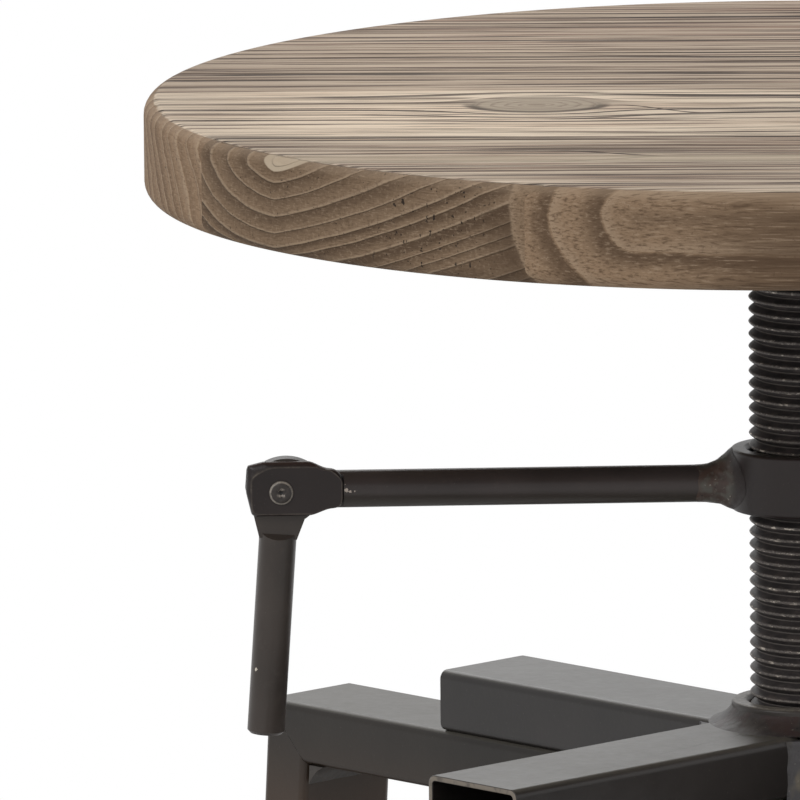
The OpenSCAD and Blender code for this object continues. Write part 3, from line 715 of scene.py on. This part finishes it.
UP = np.array([0.0, 0.0, 1.0])
PITCH, THREAD_DEPTH = 3.175, 1.9
BAR_R = 9.525 / 2
RIVET_R = 3.1
SPLAY, HANG = math.radians(4.1), math.radians(4.0)
LEGS = (135, 225, 315, 45)
screw_low, screw_high = box_mm("lift_screw")
SCREW_R = screw_high[0]
PLATE_BOTTOM = box_mm("seat_plate")[0][2]
TOP = box_mm("seat_stave_3")[1][2]
nut_low, nut_high = box_mm("lock_nut")
NUT_R = nut_high[0]
HUB_R = box_mm("hub")[1][0]
arm_low, arm_high = box_mm("cross_arm_back_left")
FRAME_TOP = arm_high[2]
TUBE_H = FRAME_TOP - arm_low[2]
TUBE_W = 2 * TUBE_H
RAIL_REACH = box_mm("rail_long")[1][0] * math.sqrt(2) - TUBE_W / 2
fold = next(j for j in frame["joints"] if j["name"] == "handle_fold")
PIN = np.array(fold["pos_m"]) / MM
PIN_AXIS = np.array(fold["axis"], float)
PIN_AXIS /= np.linalg.norm(PIN_AXIS)
CRANK_OUT = np.array([PIN[0], PIN[1], 0.0])
CRANK_OUT /= np.linalg.norm(CRANK_OUT)
CRANK_SIDE = np.cross(UP, CRANK_OUT)
FRONT = -PIN_AXIS if PIN_AXIS[1] > 0 else PIN_AXIS
CHEEK_FACE = max(float(np.dot(p, FRONT)) for p in points_of("cheek_front"))
ALONG = CRANK_OUT * math.sin(HANG) - UP * math.cos(HANG)


# Colours and materials in use

PALE, CHIP = (0.62, 0.56, 0.47), (0.42, 0.36, 0.31)
RUST = (0.16, 0.05, 0.03)
# The lighter top colours are painted top light; the brown low colour is a painted reflection on the lower
# frame.
TUBE, TUBE_LIT_TOP = (0.030, 0.0255, 0.0235), (0.074, 0.067, 0.056)
RAIL, RAIL_LIT_TOP, RAIL_LOW_REFLECTION = (0.0195, 0.0160, 0.0130), (0.098, 0.091, 0.078), (0.054, 0.034, 0.022)


def bar_chip(out, up, radius, inward=0.0):
    """A chip on the front of the crank's bar, at a distance out from the screw and above the bar's axis."""
    return Vector(CRANK_OUT * out + FRONT * (BAR_R - inward) + UP * (PIN[2] + up)), radius, CHIP


crank_chips = (
    bar_chip(115.1, 0.3, 0.42), bar_chip(114.0, 0.0, 0.26), bar_chip(112.9, 0.1, 0.20),
    bar_chip(115.3, 1.8, 0.18, 0.4)
)
handle_chips = ((Vector(PIN + ALONG * 45.8 + CRANK_OUT * 3.6 + FRONT * 3.1), 0.40, PALE),)
DIAGONAL = (-math.sqrt(0.5), math.sqrt(0.5), 0.0)
NUT = (0.0255, 0.0180, 0.0168)
mats = {
    "tube": paint("paint_tube", RAIL, 0.36, 1.0, ior=1.38, lit_top=RAIL_LIT_TOP, speckle=0.93, low=RAIL_LOW_REFLECTION),
    # The two arm paints are one paint in a darker and a lighter tone, as painted shade and light on arms that
    # face different ways.
    "arm_a": paint("paint_arm_shaded_tone", toned(TUBE, 0.70), 0.33, 1.0, ior=1.46, lit_top=TUBE_LIT_TOP, speckle=0.93,
                   along=DIAGONAL, chips=((Vector((-71.5, 50.3, 526.8)), 0.45, RUST),)),
    "arm_b": paint("paint_arm_lit_tone", toned(TUBE, 0.80), 0.33, 1.0, ior=1.42, lit_top=TUBE_LIT_TOP, speckle=0.93,
                   along=(DIAGONAL[0], -DIAGONAL[1], 0.0)),
    # The nut's, cheek's and hub's lighter top colours are painted top light.
    "nut": paint("paint_nut", NUT, 0.34, 3.0, lit_top=(0.048, 0.040, 0.034)),
    "crank": paint("paint_crank", (0.047, 0.037, 0.035), 0.34, 4.0, chips=crank_chips,
                   under=(0.045, 0.038, 0.032)),
    "cheek": paint("paint_cheek", (0.0195, 0.0140, 0.0130), 0.36, 5.0, ior=1.34, lit_top=(0.042, 0.026, 0.023),
                   speckle=0.9),
    "handle": paint("paint_handle", (0.050, 0.040, 0.034), 0.34, 6.0, chips=handle_chips),
    "hub": paint("paint_hub", (0.048, 0.041, 0.036), 0.38, 7.0, lit_top=(0.190, 0.170, 0.145)),
    "plate": paint("paint_plate", (0.030, 0.027, 0.025), 0.40, 8.0),
    "screw": screw_metal("thread_metal", SCREW_R, THREAD_DEPTH),
    "hub_weld": weld_paint(
        "weld_hub", (0.050, 0.043, 0.038), (0.034, 0.028, 0.027), (0.045, 0.028, 0.026), 11.0, 0.9, 0.3),
    "crank_weld": weld_paint(
        "weld_crank", (0.072, 0.050, 0.042), (0.100, 0.094, 0.080), (0.094, 0.060, 0.048), 13.0, 0.9, 0.8,
        onto=(NUT_R, NUT)),
    "bead": weld_paint(
        "weld_bead", (0.036, 0.030, 0.026), (0.048, 0.041, 0.035), (0.052, 0.038, 0.030), 41.0, 0.3, 0.2),
    "corner_weld": weld_paint(
        "weld_corner", (0.050, 0.046, 0.044), (0.062, 0.058, 0.060), (0.16, 0.135, 0.095), 17.0, 0.6, 0.6,
        stretch=(1.0, 1.0, 2.4)),
    "steel": bright_steel("fastener_metal", 19.0),
    "rivet": rivet_paint("rivet_steel", (0.030, 0.024, 0.021), PIN, PIN_AXIS, RIVET_R),
    "plastic": foot_plastic("foot_plastic_grain"),
}

# Each stave: pith (y, z), ring spacing and how much wider its rings are in front of the pith and behind it,
# colours of the top (base, warm, light) and of the rim (dark, middle, light), knots as (x, y, radius,
# stretch), drawn lines from (x, y) to (x, y) with width and strength, and the rim's eye as (x, z, first
# ring, step)
BEIGE, ROSE, CREAM = (0.540, 0.418, 0.312), (0.485, 0.345, 0.252), (0.740, 0.612, 0.472)
DUSK, DUSK_ROSE, SAND = (0.470, 0.356, 0.266), (0.415, 0.286, 0.212), (0.630, 0.508, 0.392)
DEEP, MID, CREST = (0.075, 0.045, 0.026), (0.212, 0.142, 0.088), (0.370, 0.272, 0.185)
EYE = (-40.0, TOP - 7.0, 7.5, 11.5)
staves = {
    "seat_stave_1": dict(
        seed=3.3, pith=(-120.0, TOP + 30), spacing=5.0, wide=(1.0, 1.0), top=(BEIGE, ROSE, CREAM),
        rim=(toned(DEEP, 1.2), toned(MID, 1.2), toned(CREST, 1.1)), eye=EYE),
    "seat_stave_2": dict(
        seed=8.1, pith=(-108.3, TOP), spacing=4.3, wide=(1.65, 1.2), wander=5.0,
        top=(toned(BEIGE, 0.87), toned(ROSE, 0.84), toned(CREAM, 0.92)),
        rim_rings=(3.8, (2.6, 1.8), -129.0, 0.33),
        rim=(DEEP, MID, CREST), eye=EYE, tip=(0.560, 0.460, 0.340),
        lines=((-58.6, -96.5, -29.9, -105.5, 1.2, 0.85), (-58.4, -112.7, -29.9, -105.5, 1.2, 0.85),
               (-29.9, -105.5, 60.0, -104.0, 3.4, 0.50))),
    "seat_stave_3": dict(
        seed=14.7, pith=(30.0, TOP - 60), spacing=5.6, wide=(1.0, 1.0),
        top=(toned(BEIGE, 1.40), toned(CREAM, 1.12), toned(CREAM, 1.26)),
        rim=(toned(DEEP, 1.8), toned(MID, 1.45), toned(CREST, 1.15)),
        knots=((-65.5, -19.5, 12.5, 1.35),),
        lines=((-45.1, -20.9, -22.7, -34.5, 1.1, 0.9), (-62.0, -43.9, -22.7, -35.5, 1.1, 0.9),
               (-24.0, -35.0, 20.0, -30.0, 1.5, 0.85))),
    "seat_stave_4": dict(
        seed=21.9, pith=(-30.0, TOP - 70), spacing=6.5, wide=(1.0, 1.0), top=(DUSK, BEIGE, SAND),
        rim=(DEEP, MID, CREST)),
    "seat_stave_5": dict(
        seed=30.3, pith=(230.0, TOP + 25), spacing=8.0, wide=(1.0, 1.0), top=(DUSK, DUSK_ROSE, SAND),
        rim=(DEEP, MID, CREST)),
}


def dress(name, mat, width=0.0, segments=3, angle=32.0):
    """Keeps a CAD node's own solid, with a finished material, joined surfaces and softened edges."""
    obj = nodes[name]
    obj.data.materials.clear()
    obj.data.materials.append(mat)
    if not width:
        return
    weld = obj.modifiers.new("join", "WELD")
    weld.merge_threshold = 2e-6
    bevel = obj.modifiers.new("soft_edges", "BEVEL")
    bevel.width = width * MM
    bevel.segments = segments
    bevel.limit_method = "ANGLE"
    bevel.angle_limit = math.radians(angle)
    bevel.harden_normals = False
    bevel.use_clamp_overlap = True
    even = obj.modifiers.new("even_normals", "WEIGHTED_NORMAL")
    even.keep_sharp = False


for name, stave in staves.items():
    dress(name, wood("wood_" + name[-1], stave))

for name, mat, width, slot in (
    ("seat_plate", "plate", 0.6, "dark_paint"),
    ("wood_screws", "steel", 0.0, "fastener_steel"),
    ("stop_bolt", "steel", 0.5, "fastener_steel"),
    ("stop_washer", "steel", 0.4, "fastener_steel"),
    ("lock_nut", "nut", 0.35, "dark_paint"),
    ("crank_arm", "crank", 0.25, "dark_paint"),
    ("crank_handle", "handle", 0.35, "dark_paint"),
    ("hub", "hub", 0.4, "dark_paint"),
):
    dress(name, mats[mat], width)
for name in nodes:
    if name.startswith("cross_arm"):
        # Two arms get the shaded tone of one paint and the other two its lit tone: painted shade and light.
        dress(name, mats["arm_a" if name.endswith(("back_left", "front_right")) else "arm_b"], 0.3)
    elif name.startswith(("rail_", "footrest_", "leg_")) and name != "footrest_welds":
        dress(name, mats["tube"], 0.3)
    elif name.startswith("foot_"):
        dress(name, mats["plastic"], 0.8)


# Lift screw


def thread(low, high, radius, depth, around=96, per_pitch=12):
    """A left-handed V thread: its ridge falls as it turns anticlockwise. Ends are cut level and closed."""
    turns = int((high - low) / PITCH) + 3
    rows = turns * per_pitch
    soft_crest, flank_end = 0.16, 0.86
    points = []
    for i in range(rows):
        phase = i / per_pitch
        off = math.hypot(2 * abs(phase % 1.0 - 0.5), soft_crest) - soft_crest
        for j, (x, y) in enumerate(round_steps(around)):
            z = low + PITCH * (phase - j / around - 0.5)
            r = radius - depth * min(off / flank_end, 1.0)
            r = min(r, radius - depth + max(0.0, z - low))
            points.append((r * x, r * y, z))
    faces = []
    for i in range(per_pitch, rows - 1):
        for j in range(around):
            k = i * around + j
            following = k + 1 if j + 1 < around else (i - per_pitch) * around
            faces.append((k, following, following + around, k + around))
    work = bmesh.new()
    made = [work.verts.new(Vector(p) * MM) for p in points]
    for face in faces:
        work.faces.new([made[i] for i in face])
    for z, normal in ((low, (0, 0, -1)), (high, (0, 0, 1))):
        everything = work.verts[:] + work.edges[:] + work.faces[:]
        cut = bmesh.ops.bisect_plane(
            work, geom=everything, dist=1e-8, plane_co=(0, 0, z * MM), plane_no=normal, clear_outer=True
        )
        rim = [e for e in cut["geom_cut"] if isinstance(e, bmesh.types.BMEdge)]
        bmesh.ops.contextual_create(work, geom=rim)
    bmesh.ops.delete(work, geom=[v for v in work.verts if not v.link_faces], context="VERTS")
    bmesh.ops.recalc_face_normals(work, faces=work.faces)
    mesh = bpy.data.meshes.new("lift_screw_thread")
    work.to_mesh(mesh)
    work.free()
    placed("lift_screw_thread", mesh, "seat", mats["screw"], ("lift_screw",), 70)


thread(screw_low[2], PLATE_BOTTOM, SCREW_R, THREAD_DEPTH)


# Welds, a little smaller than their CAD solids

INSET = 0.3
TUBE_BEAD, CORNER_BEAD, CORNER_HALF = 4.6, 5.0, 15.5

weld_high = box_mm("hub_weld")[1]
skirt_w, skirt_h = weld_high[0] - HUB_R - 0.5, weld_high[2] - FRAME_TOP - INSET
skirt = bead(
    circle_path(HUB_R, FRAME_TOP, 1), True, skirt_w, skirt_h, 2.0, belly=0.05, ripple=0.0, uneven=0.35
)
piece("hub_weld_bead", *skirt, "frame", "weld_metal", mats["hub_weld"], ("hub_weld",))

weld_low, weld_high = box_mm("plate_weld")
ring_w, ring_h = weld_high[0] - SCREW_R - INSET, PLATE_BOTTOM - weld_low[2] - INSET
ring = bead(circle_path(SCREW_R - 0.2, PLATE_BOTTOM, -1), True, ring_w, ring_h, 5.0, belly=0.2)
piece("plate_weld_bead", *ring, "seat", "weld_metal", mats["corner_weld"], ("plate_weld",))


def upright_bead(corner, low, high, sides, seed, belly):
    """A bead that stands in the corner between two tubes, whose faces lead away at the sides' angles."""
    line = line_path(corner + UP * (low[2] + INSET), corner + UP * (high[2] - INSET), *map(heading, sides))
    return bead(line, False, TUBE_BEAD, TUBE_BEAD, seed, belly)


box = box_mm("cross_welds")
beads = []
for k in range(4):
    corner = heading(90 * k) * TUBE_W / math.sqrt(2)
    beads.append(upright_bead(corner, *box, (90 * k + 45, 90 * k - 45), 6.0 + k, 0.12))
piece("cross_weld_beads", *merged(beads), "frame", "weld_metal", mats["corner_weld"], ("cross_welds",))

corner_top = box_mm("corner_welds")[1][2]
corner_reach = RAIL_REACH + TUBE_H * math.tan(SPLAY) - TUBE_H / math.cos(SPLAY)
beads = []
for k, turn in enumerate(LEGS):
    out, side = heading(turn), heading(turn + 90) * CORNER_HALF
    middle = out * corner_reach + UP * corner_top
    down = out * math.sin(SPLAY) - UP * math.cos(SPLAY)
    beads.append(bead(
        line_path(middle - side, middle + side, -out, down), False, CORNER_BEAD, CORNER_BEAD, 12.0 + k,
        belly=0.1, ripple=0.0, uneven=0.3
    ))
piece("corner_weld_beads", *merged(beads), "frame", "weld_metal", mats["bead"], ("corner_welds",))

box = box_mm("footrest_welds")
beads = []
for k, turn in enumerate(LEGS):
    corner = heading(turn) * box[1][0] * math.sqrt(2)
    beads.append(upright_bead(corner, *box, (turn + 135, turn - 135), 22.0 + k, 0.2))
piece("footrest_weld_beads", *merged(beads), "frame", "weld_metal", mats["bead"], ("footrest_welds",))


def crank_flare(around=72, along=16):
    """The weld that spreads from the crank's bar over the side of the round nut."""
    wide, long, fade = 10.2, 8.6, 2.6
    inner_r, inner_ends = BAR_R - 0.2, (NUT_R + 7.0, NUT_R - 0.4)
    middle = PIN[2]
    points = []
    for j in range(along + 1):
        s = j / along
        for across, up in round_steps(around):
            half = wide + 0.5 * lumps((up * 2, across * 2, 0), 1.0, 31)
            tall = nut_high[2] - middle if up > 0 else middle - nut_low[2]
            start = 1.0 / math.hypot(across / half, up / (tall - 0.1))
            length = long + 0.9 * lumps((up * 1.5, across * 1.5, 3), 1.0, 33)
            r = BAR_R + 0.03 + (start - BAR_R) * (1 - s) ** fade
            y, z = r * across, r * up
            rim = NUT_R - max(0.0, abs(z) - (tall - 0.6)) + 0.05
            x = math.sqrt(max(rim * rim - min(abs(y), NUT_R - 1) ** 2, 0.0)) + 0.02
            x = x + (NUT_R + length - x) * s ** (1.0 + 0.9 * across * across)
            place = CRANK_OUT * x + CRANK_SIDE * y + UP * (middle + z)
            bump = 0.30 * lumps(place, 1.8, 35) * math.sin(math.pi * min(1.0, s * 1.1 + 0.05))
            points.append(place + (CRANK_SIDE * across + UP * up) * bump)
    count = around * (along + 1)
    for x in inner_ends:
        for across, up in round_steps(around):
            points.append(CRANK_OUT * x + CRANK_SIDE * (inner_r * across) + UP * (middle + inner_r * up))
    faces = grid_faces(along + 1, around)
    rows = [along * around, count, count + around, 0]
    for a, b in zip(rows, rows[1:]):
        for i in range(around):
            k = (i + 1) % around
            faces.append((a + i, a + k, b + k, b + i))
    return points, faces


piece("crank_weld_flare", *crank_flare(), "crank", "weld_metal", mats["crank_weld"], ("crank_weld",))


# Cheeks of the fork

FACE_MIDDLE = np.array([-4.0, 0.5])


def face_loop(name, facing):
    """The corners round the outer face of a CAD plate, in order, as (out, up) from the pin, and how far that
    face lies from the pin's middle."""
    spots = points_of(name)
    flat = [tuple(np.round((np.dot(p, CRANK_OUT), p[2]), 3)) for p in spots]
    reach = [float(np.dot(p, facing)) for p in spots]
    face = max(reach)
    used = {}
    for polygon in nodes[name].data.polygons:
        corners = list(polygon.vertices)
        if min(reach[i] for i in corners) > face - 0.01:
            for a, b in zip(corners, corners[1:] + corners[:1]):
                key = frozenset((flat[a], flat[b]))
                used[key] = used.get(key, 0) + 1
    joined = {}
    for a, b in (key for key, count in used.items() if count == 1 and len(key) == 2):
        joined.setdefault(a, []).append(b)
        joined.setdefault(b, []).append(a)
    loop, last = [max(joined)], None
    while True:
        step = next(p for p in joined[loop[-1]] if p != last)
        if step == loop[0]:
            return np.array(loop), face
        last = loop[-1]
        loop.append(step)


def evened(loop, count=240, smoothings=3):
    """A closed outline as evenly spaced points, anticlockwise and a little smoothed."""
    ends = np.roll(loop, -1, axis=0)
    if np.sum(loop[:, 0] * ends[:, 1] - ends[:, 0] * loop[:, 1]) < 0:
        loop = loop[::-1]
        ends = np.roll(loop, -1, axis=0)
    run = np.concatenate([[0.0], np.cumsum(np.linalg.norm(ends - loop, axis=1))])
    closed = np.vstack([loop, loop[:1]])
    marks = np.linspace(0.0, run[-1], count, endpoint=False)
    even = np.stack([np.interp(marks, run, closed[:, k]) for k in (0, 1)], axis=1)
    for _ in range(smoothings):
        even = (np.roll(even, 1, axis=0) + 2 * even + np.roll(even, -1, axis=0)) / 4
    return even


def face_reach(angle, roundness=18):
    """How far a cheek's flat face runs from its middle at an angle: eight walls, each a direction and a
    distance, with rounded corners between them."""
    side = np.array([math.cos(angle), math.sin(angle)])
    walls = (((1.0, 0.0), 11.6), ((0.47, 0.88), 8.5), ((0.0, 1.0), 6.0), ((-0.62, 0.78), 9.3),
             ((-1.0, 0.0), 11.6), ((-0.72, -0.70), 11.3), ((0.0, -1.0), 6.1), ((0.72, -0.70), 12.3))
    shares = (max(0.0, float(side @ np.array(wall))) / far for wall, far in walls)
    return sum(share ** roundness for share in shares) ** (-1 / roundness)


def cheek(name, facing):
    """A cheek plate with a broad rounded bevel round its outer face, rubbed with a painted highlight where
    the bevel starts.
    """
    least_bevel, inner_row = 0.35, 1.1
    loop, face = face_loop(name, facing)
    outline = evened(loop)
    thickness = face - min(float(np.dot(p, facing)) for p in points_of(name))
    angle = np.arctan2(outline[:, 1] - FACE_MIDDLE[1], outline[:, 0] - FACE_MIDDLE[0])
    near = np.linalg.norm(outline - FACE_MIDDLE, axis=1)
    reach = np.minimum(np.array([face_reach(a) for a in angle]), near - least_bevel) / near

    # Each row: share of the bevel's width, depth under the face and how rubbed it is, which also sets a
    # painted edge highlight
    rows = ((-0.35, 0.0, 0.0), (-0.10, 0.0, 0.5), (0.0, 0.02, 1.0), (0.12, 0.07, 0.35), (0.30, 0.20, 0.0),
            (0.55, 0.48, 0.0), (0.80, 0.85, 0.0), (0.95, 1.20, 0.10), (1.0, 1.5, 0.2), (1.0, thickness, 0.0))
    points, wear_and_highlight = [], []
    for share, depth, rub in rows:
        size = reach + share * np.where(share > 0, 1 - reach, inner_row / near)
        for p in FACE_MIDDLE + (outline - FACE_MIDDLE) * size[:, None]:
            points.append(PIN + CRANK_OUT * p[0] + UP * p[1] + facing * (face - depth))
            wear_and_highlight.append(rub)
    count = len(outline)
    faces = grid_faces(len(rows), count) + end_faces(len(rows), count)
    piece(name + "_forged", points, faces, "crank", "dark_paint", mats["cheek"], (name,), angle=60, wear_and_highlight=wear_and_highlight)


cheek("cheek_front", FRONT)
cheek("cheek_back", -FRONT)


# Fold pin


def rivet(around=64):
    """The fold pin with peened heads: a shallow dome, a thin ring round its foot and a dimple."""
    head = ((0.34, 0.0), (0.36, 0.25), (0.55, 0.62), (0.84, 1.05), (0.90, 1.5), (0.86, 2.1), (0.70, 2.6),
            (0.42, RIVET_R - 0.15), (0.02, RIVET_R + 0.02), (0.0, 2.5))
    profile = [(CHEEK_FACE + x, r) for x, r in head]
    profile = profile + [(-x, r) for x, r in reversed(profile)]
    other = np.cross(PIN_AXIS, UP)
    points = []
    for x, r in profile:
        for across, up in round_steps(around):
            points.append(PIN + PIN_AXIS * x + other * (r * across) + UP * (r * up))
    return points, grid_faces(len(profile), around)


piece("fold_pin_rivet", *rivet(), "crank", "screw_steel", mats["rivet"], ("fold_pin",), angle=40)


# Floor, light and camera

FLOOR_HALF, FADE_START, FADE_END = 40.0, 0.55, 1.7
FLOOR_GREY = (0.80, 0.80, 0.80, 1)


def floor_material():
    """Matt grey that fades to white away from the object, and is clear from below."""
    mat = bpy.data.materials.new("floor_matt")
    t = Tree(mat)
    place = t.add("ShaderNodeTexCoord").outputs["Object"]
    fade = t.ease(t.vec("LENGTH", place, value=True), FADE_START, FADE_END)
    ray = t.add("ShaderNodeLightPath").outputs
    seen = t.math("MAXIMUM", ray["Is Camera Ray"], ray["Is Glossy Ray"])
    matt = t.fed(t.add("ShaderNodeBsdfDiffuse"), FLOOR_GREY)
    white = t.add("ShaderNodeEmission")
    white.inputs["Strength"].default_value = 1.0
    upper = t.blend(t.mul(seen, fade), matt, white.outputs[0])
    below = t.add("ShaderNodeNewGeometry").outputs["Backfacing"]
    clear = t.add("ShaderNodeBsdfTransparent").outputs[0]
    t.put(t.add("ShaderNodeOutputMaterial").inputs[0], t.blend(below, upper, clear))
    return mat


def floor():
    """A plain pale floor."""
    mesh = bpy.data.meshes.new("floor")
    r = FLOOR_HALF
    mesh.from_pydata([(-r, -r, 0), (r, -r, 0), (r, r, 0), (-r, r, 0)], [], [(0, 1, 2, 3)])
    mesh.materials.append(floor_material())
    linked("floor", mesh)


def surroundings(level):
    """Soft light from all round, with a brighter backdrop for what the camera and reflections see."""
    world = bpy.data.worlds.new("studio")
    bpy.context.scene.world = world
    t = Tree(world)
    ray = t.add("ShaderNodeLightPath").outputs
    seen = t.math("MAXIMUM", ray["Is Camera Ray"], ray["Is Glossy Ray"])
    seen = t.math("MAXIMUM", seen, ray["Is Transmission Ray"])
    soft, backdrop = t.add("ShaderNodeBackground"), t.add("ShaderNodeBackground")
    soft.inputs["Strength"].default_value = level
    backdrop.inputs["Strength"].default_value = 1.0
    sky = t.blend(seen, soft.outputs[0], backdrop.outputs[0])
    t.put(t.add("ShaderNodeOutputWorld").inputs[0], sky)


def lamp(name, place, aim, size, power):
    data = bpy.data.lights.new(name, "AREA")
    data.shape = "SQUARE"
    data.size = size
    data.energy = power
    obj = linked(name, data)
    obj.location = place
    obj.rotation_euler = (Vector(aim) - Vector(place)).to_track_quat("-Z", "Y").to_euler()


def camera():
    """The photo's camera: 4 m in front of the screw, looking 9.6 degrees down at the stool's upper left."""
    focal, distance, height = 16100.4, 4.02137, 1.29476
    pitch, yaw, roll = 0.167878, 0.024766, -0.004511
    ahead = Vector((0, math.cos(pitch), -math.sin(pitch)))
    right = Vector((1, 0, 0))
    up = Vector((0, math.sin(pitch), math.cos(pitch)))
    look = ahead * math.cos(yaw) - right * math.sin(yaw)
    right = right * math.cos(yaw) + ahead * math.sin(yaw)
    turn = Matrix((right, up, -look)).transposed() @ Matrix.Rotation(roll, 3, "Z")
    data = bpy.data.cameras.new("photo_camera")
    data.sensor_width = 36.0
    data.lens = focal / 800 * 36.0
    data.clip_start, data.clip_end = 0.05, 200.0
    obj = linked("photo_camera", data)
    place = Vector((0.0, -distance, height))
    obj.matrix_world = Matrix.Translation(place) @ turn.to_4x4()
    bpy.context.scene.camera = obj


floor()
surroundings(0.62)
lamp("key", (-1.5, -1.6, 2.3), (0, 0, 0.55), 1.3, 26.0)
lamp("fill", (1.8, -1.4, 1.6), (0, 0, 0.5), 1.6, 9.0)
lamp("back", (-0.6, 2.2, 2.2), (0, 0, 0.6), 1.6, 14.0)
camera()
bpy.context.scene.view_settings.view_transform = "Standard"
